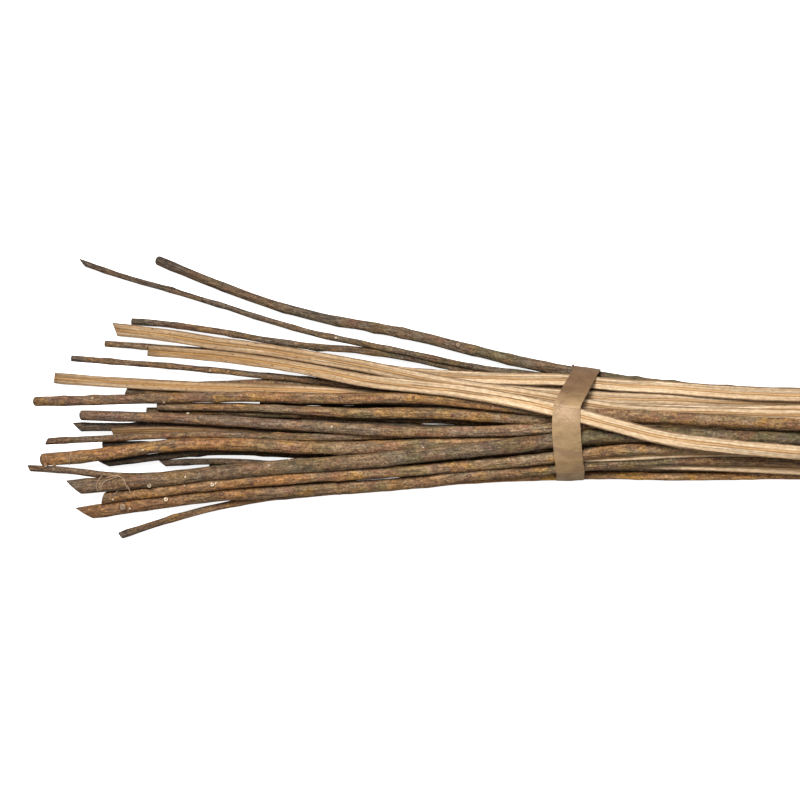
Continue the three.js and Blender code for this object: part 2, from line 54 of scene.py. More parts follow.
MM = 0.001
SECTION_SIDES = 6  # corners of a frame twig's section
SECTION_OUTER = 1.07  # its outer radius over the twig's own
FULLNESS = 1.04  # the bark stands out a little past the frame's faces
BLUNT_ENDS = ("round_twig_01", "round_twig_07", "round_twig_12", "round_twig_16")
CUT_LEAN = 0.12  # how far a clean cut leans over
CUT_SPARE = 0.4 * MM  # what a clean cut takes off a square end
MOST_CORNERS = 6  # only the face of a cut has more corners than this
UP = Vector((0, 0, 1))

# Insets that shape an end, each as how far in and how far out, over the radius
DOME = ((0.08, 0.24), (0.17, 0.16), (0.25, 0.12), (0.25, 0.06))
RIM = ((0.05, 0.05), (0.06, 0.015))
COLLAR = ((0.2, 0.16), (0.5, -0.08), (0.07, -0.1))

# Noise that shapes a twig: the size of its lumps, and how far they are drawn out along it
BARK_LUMPS = (5 * MM, 6)
BENDS = (16 * MM, 3)
TORN_FIBRES = (1.8 * MM, 22)
TORN_EDGES = (5 * MM, 5)

BUD_LENGTH = 4.5 * MM
BUD_RING = 0.35  # the share of a bud's swelling that goes all the way round
END_DARKENING = 0.38  # how much darker the very ends are
END_DARKENING_REACH = 12 * MM
TONE_START = 0.4  # a twig's tone changes from here, left of the band
TONE_SPAN = 0.3
PATTERN_SHIFT = 1.7  # each twig's pattern starts this far along from the last one's
SPLIT_SHIFTS = 40  # the split twigs' patterns start past all the round ones'
ROUND_SEED = 100
SPLIT_SEED = 500

RING_RATE = 6200.0  # growth rings, as an angle for each metre
SCAR_SPACING = 15 * MM
RIB_SPACING = 1.1 * MM
BAND_COLUMNS = 144
BAND_ROWS = 7
ROOTLET_RADIUS = 0.32 * MM
ROOTLET_SINK = 1 * MM
FLOOR_SIZE = 14
FLOOR_GLOW = 0.86
SKY_STRENGTH = 0.3
LIGHTS = {  # place, size and power
    "key": ((-0.55, 0.95, 2.0), 0.9, 70),
    "fill": ((0.9, -1.2, 1.6), 1.6, 5),
}

# Pruned side shoots on each twig: place along and across the bundle and radius of the cut, all
# in millimetres. An old one has healed over and gone dark.
PRUNED = {
    "round_twig_02": [(-200, 73, 1.3)],
    "round_twig_05": [(-320, 44.5, 1.3)],
    "round_twig_07": [(-361.5, 16.4, 1.3), (-286, 22.5, 1.0), (300, -12, 1.9)],
    "round_twig_12": [(-340, 5.5, 1.8), (-210, -6, 1.2)],
    "round_twig_16": [(-469, -40.5, 2.0), (-461, -41, 1.5), (-380, -27, 1.1)],
    "round_twig_18": [
        (-374, -58.3, 2.3), (-341, -51, 1.3), (-265, -41, 1.1), (-247, -36, 1.3),
        (-126, -23, 1.3), (360, -40, 2.0),
    ],
    "round_twig_22": [
        (-316, -58, 2.3), (-312.4, -57, 1.5), (-341, -59.6, 1.1), (-407, -71.5, 1.3),
    ],
    "round_twig_23": [(-358.5, -72, 2.3), (-392, -80, 1.3)],
}
OLD_PRUNED = {
    "round_twig_01": [(-90, 66, 2.2)],
    "round_twig_07": [(-426, 19.5, 1.8)],
    "round_twig_16": [(-352, -20, 1.7)],
    "round_twig_23": [(-398, -78.6, 3.2)],
}

# Folds across the paper band: angle in degrees, and place in millimetres.
CREASES = [(8, 12), (48, 3), (-52, 14), (-14, -22), (5, 31)]

# Hair-like rootlets: points along each, as place along the bundle, place across it and height
# above the twig that it lies on, in millimetres.
ROOTLETS = [
    ("round_twig_16", [(-447, -41, -1), (-446.5, -37, 2), (-446, -33, 2.5), (-445, -29, -1)]),
    ("round_twig_18", [(-421, -64, 0), (-422, -59, 1.5), (-420, -54, 1.5), (-417, -50, 0)]),
    ("round_twig_18", [(-418, -63, 0), (-416, -57, 1.6), (-409, -53, 1.8), (-402, -51, 0.5)]),
    (
        "round_twig_18",
        [(-413, -52, 0), (-405, -50.5, 1.6), (-398, -53, 2), (-394, -60, 1), (-391, -66, 0)],
    ),
    ("round_twig_18", [(-409, -50, 0), (-401, -51, 1.5), (-396, -57, 2), (-395, -62, 1)]),
    ("round_twig_22", [(-408, -69, -1), (-404, -65, 2), (-402, -60, 4), (-406, -56, 3)]),
]


def length(name, description, default):
    """A setting in metres."""
    return bpy.props.FloatProperty(
        name=name, description=description, default=default, unit="LENGTH"
    )


def colour(name, description, *shade):
    return bpy.props.FloatVectorProperty(
        name=name, description=description, default=(*shade, 1),
        subtype="COLOR", size=4, min=0, max=1,
    )


class RoundTwigSettings(bpy.types.PropertyGroup):
    sides: bpy.props.IntProperty(
        name="Sides", description="Faces round each round twig", default=24, min=8
    )
    step: length("Step", "Length of a face along a twig", 4.5 * MM)
    swelling: length("Swelling", "How far the bark swells where buds grew", 0.55 * MM)
    unevenness: length("Unevenness", "How far the bark stands in and out along a twig", 0.9 * MM)
    crookedness: length(
        "Crookedness", "How far a twig wanders from its smooth course", 1.1 * MM
    )
    bud_spacing: length("Bud Spacing", "Usual distance between buds", 42 * MM)
    grey_bark: colour("Grey Bark", "Colour of old grey bark", 0.165, 0.12, 0.074)
    olive_bark: colour("Olive Bark", "Colour of greenish bark", 0.125, 0.1, 0.04)
    purple_bark: colour("Purple Bark", "Colour of young purplish bark", 0.15, 0.09, 0.064)
    warm_bark: colour("Warm Bark", "Colour of orange bark", 0.25, 0.113, 0.034)
    rust_bark: colour("Rust", "Red-brown stains on the bark", 0.16, 0.058, 0.03)
    golden_bark: colour("Golden", "Mustard patches on the bark", 0.3, 0.155, 0.035)
    pale_bark: colour("Pale Bark", "Colour of flaked bark and pores", 0.46, 0.33, 0.2)
    dark_bark: colour("Dark Bark", "Colour of cracks and stains in the bark", 0.035, 0.022, 0.015)
    scar: colour("Scar", "Colour of the rim of an old bud scar", 0.07, 0.022, 0.014)


class SplitTwigSettings(bpy.types.PropertyGroup):
    step: length("Step", "Length of a face along a twig", 4.5 * MM)
    sides: bpy.props.IntProperty(
        name="Sides", description="Faces round each split twig", default=32, min=12
    )
    fibre_depth: length(
        "Fibre Depth", "How deep the split face is torn along its fibres", 0.45 * MM
    )
    raggedness: length("Raggedness", "How far the edges of the split face wander", 1.4 * MM)
    fresh_wood: colour("Fresh Wood", "Colour of the freshly split face", 0.68, 0.49, 0.3)
    pale_wood: colour("Pale Wood", "Colour of the palest fibres", 0.92, 0.79, 0.6)
    shaded_wood: colour("Shaded Wood", "Colour between the fibres", 0.4, 0.235, 0.1)
    aged_wood: colour("Aged Wood", "Colour of the weathered split face", 0.235, 0.128, 0.048)
    pith: colour("Pith", "Colour of the line down the middle of the face", 0.52, 0.27, 0.07)
    pith_edge: colour("Pith Edge", "Colour of the two edges of that line", 0.3, 0.125, 0.03)
    crack: colour("Crack", "Colour of open cracks and specks", 0.06, 0.032, 0.014)
    # Rim: partly the bark at the face's edge, partly painted shade of the gaps between twigs
    rim: colour("Rim", "Colour of the bark's rim and painted gap shade at the face's edges", 0.15, 0.08, 0.035)


class BandSettings(bpy.types.PropertyGroup):
    thickness: length("Thickness", "Thickness of the paper", 0.35 * MM)
    waviness: length("Waviness", "How far the paper cockles", 0.5 * MM)
    paper: colour("Paper", "Colour of the brown paper", 0.385, 0.25, 0.12)
    pink_paper: colour("Pink Paper", "Colour of its paler patches", 0.43, 0.275, 0.155)
    # Dark paper: painted shade on the band's far side and along its creases, and the colour of its
    # dark fibres
    dark_fibre_and_shade_paper: colour("Dark Paper", "Colour of the painted shade on the far side and in the creases, and of dark fibres", 0.115, 0.056, 0.02)
    # Golden paper: painted shade on the band's near side
    near_side_shade_paper: colour("Golden Paper", "Colour of the painted shade on the near side", 0.31, 0.19, 0.075)


class StageSettings(bpy.types.PropertyGroup):
    view_width: length("View Width", "Width of the view at the surface", 0.72)
    view_centre: bpy.props.FloatVectorProperty(
        name="View Centre", description="Point that the camera looks down on", size=3,
        subtype="TRANSLATION", default=(-0.1485, 0.018, 0.035),
    )
    focal_length: bpy.props.FloatProperty(
        name="Focal Length", description="Focal length of the camera, in millimetres", default=220
    )


# Modelling helpers


def deselect_all():
    bpy.ops.object.select_all(action="DESELECT")


def select_only(*objects):
    deselect_all()
    for obj in objects:
        obj.select_set(True)
    bpy.context.view_layer.objects.active = objects[0]


def edit(obj):
    select_only(obj)
    bpy.ops.object.mode_set(mode="EDIT")
    bpy.ops.mesh.select_all(action="DESELECT")


def leave_edit():
    bpy.ops.object.mode_set(mode="OBJECT")


def select_in_edit(obj, kind, test):
    """Selects the vertices, edges or faces of a mesh that pass a test, from edit mode."""
    bpy.ops.mesh.select_mode(type=kind)
    bpy.ops.mesh.select_all(action="DESELECT")
    leave_edit()
    parts = {"VERT": obj.data.vertices, "EDGE": obj.data.edges, "FACE": obj.data.polygons}[kind]
    found = 0
    for part in parts:
        part.select = bool(test(part))
        found += part.select
    bpy.ops.object.mode_set(mode="EDIT")
    return found


def apply_modifiers(obj):
    select_only(obj)
    for modifier in list(obj.modifiers):
        bpy.ops.object.modifier_apply(modifier=modifier.name)


def apply_place(obj):
    select_only(obj)
    bpy.ops.object.transform_apply(location=True, rotation=True, scale=True)


def join_into(obj, others):
    select_only(obj, *others)
    bpy.ops.object.join()


def noise_texture(name, size, depth=2):
    texture = bpy.data.textures.new(name, "CLOUDS")
    texture.noise_scale = size
    texture.noise_depth = depth
    return texture


def add_modifier(obj, kind, **settings):
    modifier = obj.modifiers.new(kind.title(), kind)
    for key, value in settings.items():
        setattr(modifier, key, value)
    return modifier


def curve_through(name, kind, places, **settings):
    """A curve through some places: smooth if it is a Bezier curve, else of straight lines."""
    curve = bpy.data.curves.new(name, "CURVE")
    for key, value in {"dimensions": "3D", **settings}.items():
        setattr(curve, key, value)
    spline = curve.splines.new(kind)
    smooth = kind == "BEZIER"
    points = spline.bezier_points if smooth else spline.points
    points.add(len(places) - 1)
    for point, place in zip(points, places):
        point.co = place if smooth else (*place, 1)
        if smooth:
            point.handle_left_type = "AUTO"
            point.handle_right_type = "AUTO"
    obj = bpy.data.objects.new(name, curve)
    bpy.context.collection.objects.link(obj)
    return obj


def made_mesh(curve_object):
    select_only(curve_object)
    bpy.ops.object.convert(target="MESH")
    return bpy.context.object


# Reading a twig's course from the frame


class Course:
    """Where a twig runs: its middle line, radius and roll at each section, and its two cuts."""

    def __init__(self, node):
        corners = self.corners_of(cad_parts[node])
        self.split = node.startswith("split")
        by_place = {}
        for corner in corners:
            by_place.setdefault(round(corner.x, 5), []).append(corner)
        inner = sorted(x for x, ring in by_place.items() if len(ring) == SECTION_SIDES)
        square_ends = [x for x in (min(by_place), max(by_place)) if x in inner]
        inner = [x for x in inner if x not in square_ends]
        rings = [by_place[x] for x in inner]
        left = [c for c in corners if c.x < inner[0] - MM]
        right = [c for c in corners if c.x > inner[-1] + MM]
        self.sections = [self.section_of(ring) for ring in [left, *rings, right]]
        self.ends = [min(c.x for c in left), max(c.x for c in right)]
        self.slants = [self.slant_of(left), self.slant_of(right)]
        self.square_up(0, 1, self.ends[0])
        self.square_up(-1, -2, self.ends[1])
        radii = [section["radius"] for section in self.sections]
        self.radius = sum(radii) / len(radii)

    @staticmethod
    def corners_of(obj):
        """The corners of a frame node, each once."""
        places = {tuple(round(value, 6) for value in v.co): v.co.copy() for v in obj.data.vertices}
        return list(places.values())

    def section_of(self, ring):
        """Middle, radius and roll of one section."""
        if not self.split:
            middle = sum(ring, Vector()) / len(ring)
            flat = [Vector((0, c.y - middle.y, c.z - middle.z)).length for c in ring]
            return {"middle": middle, "radius": FULLNESS * max(flat) / SECTION_OUTER, "roll": 0.0}
        pairs = [(a, b) for a in ring for b in ring]
        one, other = max(pairs, key=lambda pair: (pair[0] - pair[1]).yz.length)
        middle = (one + other) / 2
        inwards = sum(ring, Vector()) / len(ring) - middle
        face = Vector((0, -inwards.y, -inwards.z)).normalized()
        roll = math.atan2(face.z, face.y) - math.pi / 2
        radius = FULLNESS * (one - other).yz.length / 2
        return {"middle": middle, "radius": radius, "roll": roll}

    @staticmethod
    def slant_of(ring):
        """How far the cut runs along the twig for each step across it."""
        middle = sum(ring, Vector()) / len(ring)
        top = sum((c.x - middle.x) * (c.y - middle.y) for c in ring)
        return top / max(1e-12, sum((c.y - middle.y) ** 2 for c in ring))

    def square_up(self, end, inner, x):
        """Carries the middle line on to the very tip of the twig."""
        tip, near = self.sections[end], self.sections[inner]
        share = (x - near["middle"].x) / (tip["middle"].x - near["middle"].x)
        tip["middle"] = near["middle"].lerp(tip["middle"], share)
        tip["middle"].x = x
        tip["radius"] = near["radius"]
        tip["roll"] = near["roll"]

    def length(self):
        return self.ends[1] - self.ends[0]

    def at(self, x):
        """The twig's middle and radius at one place along the bundle."""
        for one, other in zip(self.sections, self.sections[1:]):
            if x <= other["middle"].x:
                share = (x - one["middle"].x) / (other["middle"].x - one["middle"].x)
                radius = one["radius"] + share * (other["radius"] - one["radius"])
                return one["middle"].lerp(other["middle"], share), radius
        return self.sections[-1]["middle"], self.sections[-1]["radius"]


def course_curve(name, course):
    """A smooth curve along a twig, which carries its radius and roll."""
    places = [section["middle"] for section in course.sections]
    obj = curve_through(name, "BEZIER", places, twist_mode="Z_UP", resolution_u=24)
    for point, section in zip(obj.data.splines[0].bezier_points, course.sections):
        point.radius = section["radius"] / course.radius
        point.tilt = section["roll"]
    return obj


# Twigs


def straight_rod(name, course, sides, step):
    """A round rod along X from 0 to its length, with rings all the way."""
    deselect_all()
    length = course.length()
    bpy.ops.mesh.primitive_cylinder_add(
        vertices=sides,
        radius=course.radius,
        depth=length,
        end_fill_type="NGON",
        location=(length / 2, 0, 0),
        rotation=(0, math.pi / 2, 0),
    )
    rod = bpy.context.object
    rod.name = name
    apply_place(rod)
    edit(rod)
    points = rod.data.vertices
    select_in_edit(
        rod, "EDGE",
        lambda e: abs(points[e.vertices[0]].co.x - points[e.vertices[1]].co.x) > length / 2,
    )
    bpy.ops.mesh.subdivide(number_cuts=round(length / step))
    leave_edit()
    return rod


def flatten_face(rod, radius):
    """Splits a rod down its middle: what stood above it is pressed into one flat face."""
    edit(rod)
    select_in_edit(rod, "VERT", lambda v: v.co.z > 0.02 * radius)
    bpy.ops.transform.resize(value=(1, 1, 0.04), center_override=(0, 0, 0))
    leave_edit()


def inset_by(steps, radius):
    for inset, rise in steps:
        bpy.ops.mesh.inset(thickness=inset * radius, depth=rise * radius)


def cut_end(rod, course, end, blunt):
    """Saws one end off at its slant, or rubs it round."""
    slant = 0 if blunt else course.slants[end]
    reach = abs(slant) * course.radius + CUT_SPARE
    if blunt:
        reach = sum(rise for _, rise in DOME) * course.radius
    place = course.length() - reach if end else reach
    sign = 1 if end else -1
    edit(rod)
    bpy.ops.mesh.select_all(action="SELECT")
    bpy.ops.mesh.bisect(
        plane_co=(place, 0, 0), plane_no=Vector((1, -slant, CUT_LEAN)).normalized() * sign,
        use_fill=True, clear_outer=True, clear_inner=False,
    )
    select_in_edit(rod, "FACE", lambda f: is_cut(f) and f.normal.x * sign > 0)
    inset_by(DOME if blunt else RIM, course.radius)
    leave_edit()


def store(rod, name, kind, values):
    """Keeps numbers at the points of a mesh, for its finishes."""
    layer = rod.data.attributes.new(name, kind, "POINT")
    layer.data.foreach_set("value" if kind == "FLOAT" else "vector", values)


def store_straight_place(rod, shifts):
    """Keeps each point's place on the straight twig, for patterns that follow the grain."""
    values = []
    for vertex in rod.data.vertices:
        values += [vertex.co.x + PATTERN_SHIFT * shifts, vertex.co.y, vertex.co.z]
    store(rod, "grain_place", "FLOAT_VECTOR", values)


def store_tone(rod, course, tones):
    """Keeps a twig's own tone at each point, which runs from its left end's to its middle's."""
    left, right = (Vector(tone) for tone in tones)
    values = []
    for vertex in rod.data.vertices:
        x = vertex.co.x
        share = (x + course.ends[0] + TONE_START) / TONE_SPAN
        tone = left.lerp(right, min(1, max(0, share)))
        from_end = max(0, min(x, course.length() - x))
        # the bark is made darker towards the very ends
        tone.y *= 1 - END_DARKENING * math.exp(-from_end / END_DARKENING_REACH)
        values.extend(tone)
    store(rod, "tone", "FLOAT_VECTOR", values)


def store_across(rod, course):
    """Keeps how far out across its twig each point lies, from 0 to 1."""
    store(rod, "across", "FLOAT", [abs(v.co.y) / course.radius for v in rod.data.vertices])


def swell_at_buds(rod, course, settings, chance):
    """Raises a ring and a bump on the bark at each bud, on alternate sides."""
    buds = []
    x = chance.uniform(0.2, 0.9) * settings.bud_spacing
    while x < course.length():
        buds.append((x, chance.uniform(0, 2 * math.pi)))
        x += settings.bud_spacing * chance.uniform(0.6, 1.5)
    group = rod.vertex_groups.new(name="buds")
    for vertex in rod.data.vertices:
        weight = 0.0
        around = math.atan2(vertex.co.z, vertex.co.y)
        for place, facing in buds:
            along = (vertex.co.x - place) / BUD_LENGTH
            if abs(along) < 3:
                height = math.exp(-along * along)
                bump = height * max(0, math.cos(around - facing)) ** 4
                weight = max(weight, BUD_RING * height + (1 - BUD_RING) * bump)
        if weight > 0.01:
            group.add([vertex.index], weight, "REPLACE")
    add_modifier(
        rod, "DISPLACE", vertex_group="buds", strength=settings.swelling * 2, mid_level=0.0
    )


def roughen(rod, lumps, strength, direction="NORMAL"):
    """Displaces a straight rod by noise that is drawn out along it."""
    size, stretch = lumps
    select_only(rod)
    rod.scale = (1 / stretch, 1, 1)
    bpy.ops.object.transform_apply(location=False, rotation=False, scale=True)
    add_modifier(
        rod, "DISPLACE", texture=noise_texture("unevenness", size), strength=strength,
        mid_level=0.5, direction=direction,
    )
    apply_modifiers(rod)
    rod.scale = (stretch, 1, 1)
    bpy.ops.object.transform_apply(location=False, rotation=False, scale=True)


def pruned_stub(course, x, y, radius):
    """The stub of a cut side shoot: a low collar of bark round a pale face with a dark middle."""
    deselect_all()
    middle, thickness = course.at(x)
    side = max(-0.9, min(0.9, (y - middle.y) / thickness))
    out = Vector((0, side, math.sqrt(1 - side * side)))
    height = 0.45 * radius + 0.5 * MM
    bpy.ops.mesh.primitive_cylinder_add(
        vertices=18, radius=radius, depth=2 * height, end_fill_type="NGON"
    )
    stub = bpy.context.object
    edit(stub)
    select_in_edit(stub, "FACE", lambda f: f.normal.z > 0.9)
    inset_by(COLLAR, radius)
    select_in_edit(stub, "VERT", lambda v: v.co.z < 0)
    bpy.ops.transform.resize(value=(1.6, 1.35, 1))
    leave_edit()
    stub.rotation_mode = "QUATERNION"
    stub.rotation_quaternion = out.to_track_quat("Z", "Y")
    stub.location = Vector((x - course.ends[0], 0, 0)) + out * (course.radius - 0.3 * height)
    apply_place(stub)
    return stub


def bend_along(rod, course):
    """Lays a straight rod along its course."""
    path = course_curve(rod.name + "_course", course)
    add_modifier(rod, "CURVE", object=path, deform_axis="POS_X")
    path.data.use_stretch = True
    path.data.use_deform_bounds = True
    path.data.use_radius = True
    apply_modifiers(rod)
    curve = path.data
    bpy.data.objects.remove(path)
    bpy.data.curves.remove(curve)


def finish_twig(rod, node):
    """Smooths a twig's bark but not its rims, and gives it its place in the frame."""
    select_only(rod)
    bpy.ops.object.shade_smooth_by_angle(angle=math.radians(38))
    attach(rod, "root")
    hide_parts(node)


def is_cut(face):
    return len(face.vertices) > MOST_CORNERS


def paint_faces(rod, test, index):
    for face in rod.data.polygons:
        if test(face):
            face.material_index = index


# Materials


class Nodes:
    """A short way to lay out shader nodes."""

    def __init__(self, tree):
        self.tree = tree
        tree.nodes.clear()

    def add(self, kind, settings=None, **inputs):
        node = self.tree.nodes.new(kind)
        for key, value in (settings or {}).items():
            setattr(node, key, value)
        for key, value in inputs.items():
            self.feed(node, key.replace("_", " "), value)
        return node

    def feed(self, node, key, value):
        socket = node.inputs[int(key)] if key.isdigit() else node.inputs[key]
        if isinstance(value, bpy.types.NodeSocket):
            self.tree.links.new(value, socket)
        else:
            socket.default_value = value

    def math(self, operation, a, b=0.0, clamp=False):
        node = self.add("ShaderNodeMath", {"operation": operation, "use_clamp": clamp})
        self.feed(node, "0", a)
        self.feed(node, "1", b)
        return node.outputs[0]

    def times(self, a, b):
        return self.math("MULTIPLY", a, b)

    def plus(self, a, b, clamp=False):
        return self.math("ADD", a, b, clamp)

    def minus(self, a, b):
        return self.math("SUBTRACT", a, b)

    def total(self, start, *more):
        """A number with others added to it, each given as the number and its weight."""
        for number, weight in more:
            start = self.plus(start, self.times(number, weight))
        return start

    def mix(self, share, a, b, blend="MIX"):
        node = self.add("ShaderNodeMix", {"data_type": "RGBA", "blend_type": blend})
        self.feed(node, "0", share)
        self.feed(node, "6", a)
        self.feed(node, "7", b)
        return node.outputs[2]

    def coats(self, base, *layers):
        """A colour under others, each given as its mask, its strength and its colour."""
        for mask, strength, layer in layers:
            base = self.mix(self.times(mask, strength), base, layer)
        return base

    def shaded(self, base, mask, dark, light):
        """A colour multiplied by dark where a mask is 0 and by light where it is 1."""
        return self.mix(1.0, base, self.mix(mask, (*dark, 1), (*light, 1)), "MULTIPLY")

    def tinted(self, base, lightness):
        """A colour made lighter or darker by a number."""
        grey = self.add("ShaderNodeCombineColor", Red=lightness, Green=lightness, Blue=lightness)
        return self.mix(1.0, base, grey.outputs[0], "MULTIPLY")

    def spread(self, value, low, high):
        """A value's place between two limits, from 0 to 1, smoothly."""
        settings = {"interpolation_type": "SMOOTHSTEP"}
        node = self.add("ShaderNodeMapRange", settings, Value=value, From_Min=low, From_Max=high)
        return node.outputs[0]

    def stretched(self, vector, scale):
        node = self.add("ShaderNodeMapping", Vector=vector, Scale=scale)
        return node.outputs[0]

    def noise(self, vector, scale, detail=3.0, roughness=0.55):
        node = self.add(
            "ShaderNodeTexNoise", Vector=vector, Scale=scale, Detail=detail, Roughness=roughness
        )
        return node.outputs["Fac"]

    def parts(self, vector):
        return self.add("ShaderNodeSeparateXYZ", Vector=vector).outputs

    def here(self):
        return self.add("ShaderNodeTexCoord").outputs["Object"]

    def attribute(self, name, output="Vector"):
        return self.add("ShaderNodeAttribute", {"attribute_name": name}).outputs[output]

    def group(self, tree, **inputs):
        return self.add("ShaderNodeGroup", {"node_tree": tree}, **inputs).outputs

    def finish(self, shader, base, roughness, specular=0.5):
        self.feed(shader, "Base Color", base)
        self.feed(shader, "Roughness", roughness)
        self.feed(shader, "Specular IOR Level", specular)

    def bump(self, shader, height, distance):
        node = self.add("ShaderNodeBump", Height=height, Distance=distance, Strength=1.0)
        self.feed(shader, "Normal", node.outputs[0])


def new_group(name, numbers, results):
    """A node group that takes a place and some numbers, and gives masks and heights."""
    tree = bpy.data.node_groups.new(name, "ShaderNodeTree")
    sockets = tree.interface
    sockets.new_socket(name="Place", in_out="INPUT", socket_type="NodeSocketVector")
    for label, default in numbers.items():
        number = sockets.new_socket(name=label, in_out="INPUT", socket_type="NodeSocketFloat")
        number.default_value = default
    for label in results:
        sockets.new_socket(name=label, in_out="OUTPUT", socket_type="NodeSocketFloat")
    nodes = Nodes(tree)
    return nodes, tree.nodes.new("NodeGroupInput").outputs, tree.nodes.new("NodeGroupOutput")


def fibre_group():
    """Lines along the grain: masks of dark lines, pale lines and open cracks, and a height."""
    nodes, given, out = new_group(
        "Fibres",
        {"Stretch": 40.0, "Scale": 900.0, "Crack Scale": 260.0},
        ("Dark", "Pale", "Cracks", "Height"),
    )
    squeeze = nodes.math("DIVIDE", 1.0, given["Stretch"])
    scale = nodes.add("ShaderNodeCombineXYZ", X=squeeze, Y=1.0, Z=1.0).outputs[0]
    squeezed = nodes.add("ShaderNodeVectorMath", {"operation": "MULTIPLY"})
    nodes.feed(squeezed, "0", given["Place"])
    nodes.feed(squeezed, "1", scale)
    drawn_out = squeezed.outputs[0]
    fine = nodes.noise(drawn_out, given["Scale"], 4.0, 0.65)
    nodes.feed(out, "Dark", nodes.spread(fine, 0.5, 0.34))
    nodes.feed(out, "Pale", nodes.spread(fine, 0.53, 0.68))
    seam = nodes.add(
        "ShaderNodeTexVoronoi", {"feature": "DISTANCE_TO_EDGE"},
        Vector=drawn_out, Scale=given["Crack Scale"],
    )
    where = nodes.spread(nodes.noise(drawn_out, 200.0, 2.0), 0.45, 0.6)
    cracks = nodes.times(nodes.spread(seam.outputs["Distance"], 0.12, 0.04), where)
    nodes.feed(out, "Cracks", cracks)
    nodes.feed(out, "Height", nodes.minus(fine, cracks))
    return nodes.tree


def spots(nodes, place, spacing, near, far):
    """A mask of round spots about a spacing apart, solid within near and gone by far."""
    cells = nodes.add("ShaderNodeTexVoronoi", Vector=place, Scale=1 / spacing)
    return nodes.spread(cells.outputs["Distance"], far / spacing, near / spacing)


def stains_group():
    """Age and growth: broad patches, dapples, dark specks, pale pores and old bud scars."""
    nodes, given, out = new_group(
        "Stains",
        {"Patch Size": 30.0, "Dapple Size": 300.0},
        ("Patches", "Dapples", "Specks", "Pores", "Scar Rims", "Scars"),
    )
    place = given["Place"]
    drawn_out = nodes.stretched(place, (0.5, 1, 1))
    patches = nodes.noise(drawn_out, given["Patch Size"], 3.0)
    nodes.feed(out, "Patches", nodes.spread(patches, 0.38, 0.62))
    dapples = nodes.noise(drawn_out, given["Dapple Size"], 4.0, 0.6)
    nodes.feed(out, "Dapples", nodes.spread(dapples, 0.34, 0.66))
    gathered = nodes.spread(nodes.noise(place, 60.0, 2.0), 0.4, 0.6)
    specks = spots(nodes, drawn_out, 2.6 * MM, 0.3 * MM, 0.8 * MM)
    nodes.feed(out, "Specks", nodes.times(specks, gathered))
    nodes.feed(out, "Pores", spots(nodes, place, 5.4 * MM, 0.35 * MM, 0.85 * MM))
    oval = nodes.stretched(place, (0.8, 1, 1))
    nodes.feed(out, "Scar Rims", spots(nodes, oval, SCAR_SPACING, 1.3 * MM, 2.3 * MM))
    nodes.feed(out, "Scars", spots(nodes, oval, SCAR_SPACING, 0.3 * MM, 1.0 * MM))
    return nodes.tree


def new_material(name):
    material = bpy.data.materials.new(name)
    material.use_nodes = True
    nodes = Nodes(material.node_tree)
    shader = nodes.add("ShaderNodeBsdfPrincipled")
    nodes.add("ShaderNodeOutputMaterial", Surface=shader.outputs[0])
    return nodes, shader


def bark_material(settings, fibres, stains):
    """Dry bark: grey-brown with coloured patches, cracks, specks, pores and bud scars."""
    nodes, shader = new_material("dry_bark")
    place = nodes.attribute("grain_place")
    tone = nodes.parts(nodes.attribute("tone"))
    age = nodes.group(stains, Place=place, Patch_Size=32.0, Dapple_Size=300.0)
    grain = nodes.group(fibres, Place=place, Stretch=9.0, Scale=700.0, Crack_Scale=260.0)
    shift = nodes.times(nodes.minus(age["Patches"], 0.5), 0.55)
    warmth = nodes.plus(shift, tone[0], clamp=True)
    drawn_out = nodes.stretched(place, (0.6, 1, 1))
    green = nodes.spread(nodes.noise(drawn_out, 47.0, 3.0), 0.47, 0.57)
    rusty = nodes.spread(nodes.noise(drawn_out, 76.0, 3.0), 0.55, 0.63)
    rounder = nodes.stretched(place, (0.7, 1.2, 1.2))
    golden = nodes.spread(nodes.noise(rounder, 58.0, 2.0), 0.58, 0.64)
    base = nodes.coats(settings.grey_bark, (green, 0.8, settings.olive_bark))
    base = nodes.mix(tone[2], base, settings.purple_bark)
    base = nodes.mix(warmth, base, settings.warm_bark)
    base = nodes.coats(
        base,
        (rusty, 0.45, settings.rust_bark),
        (golden, nodes.plus(tone[0], 0.15), settings.golden_bark),
    )
    base = nodes.shaded(base, age["Dapples"], (0.7, 0.66, 0.62), (1.34, 1.34, 1.3))
    flecks = nodes.noise(nodes.stretched(place, (0.8, 1, 1)), 620.0, 3.0, 0.6)
    flecks = nodes.spread(flecks, 0.36, 0.64)
    base = nodes.shaded(base, flecks, (0.62, 0.6, 0.57), (1.36, 1.36, 1.32))
    base = nodes.coats(
        base,
        (grain["Pale"], 0.16, settings.pale_bark),
        (grain["Dark"], 0.2, settings.dark_bark),
        (age["Specks"], 0.8, settings.dark_bark),
        (grain["Cracks"], 0.5, settings.dark_bark),
        (age["Pores"], 0.6, settings.pale_bark),
        (age["Scar Rims"], 0.8, settings.scar),
        (age["Scars"], 0.6, settings.pale_bark),
    )
    roughness = nodes.total(0.78, (age["Dapples"], -0.22))
    nodes.finish(shader, nodes.tinted(base, tone[1]), roughness, 0.4)
    relief = nodes.total(
        grain["Height"], (age["Pores"], 0.5), (age["Scar Rims"], 0.7), (age["Dapples"], 0.8)
    )
    nodes.bump(shader, relief, 0.55 * MM)


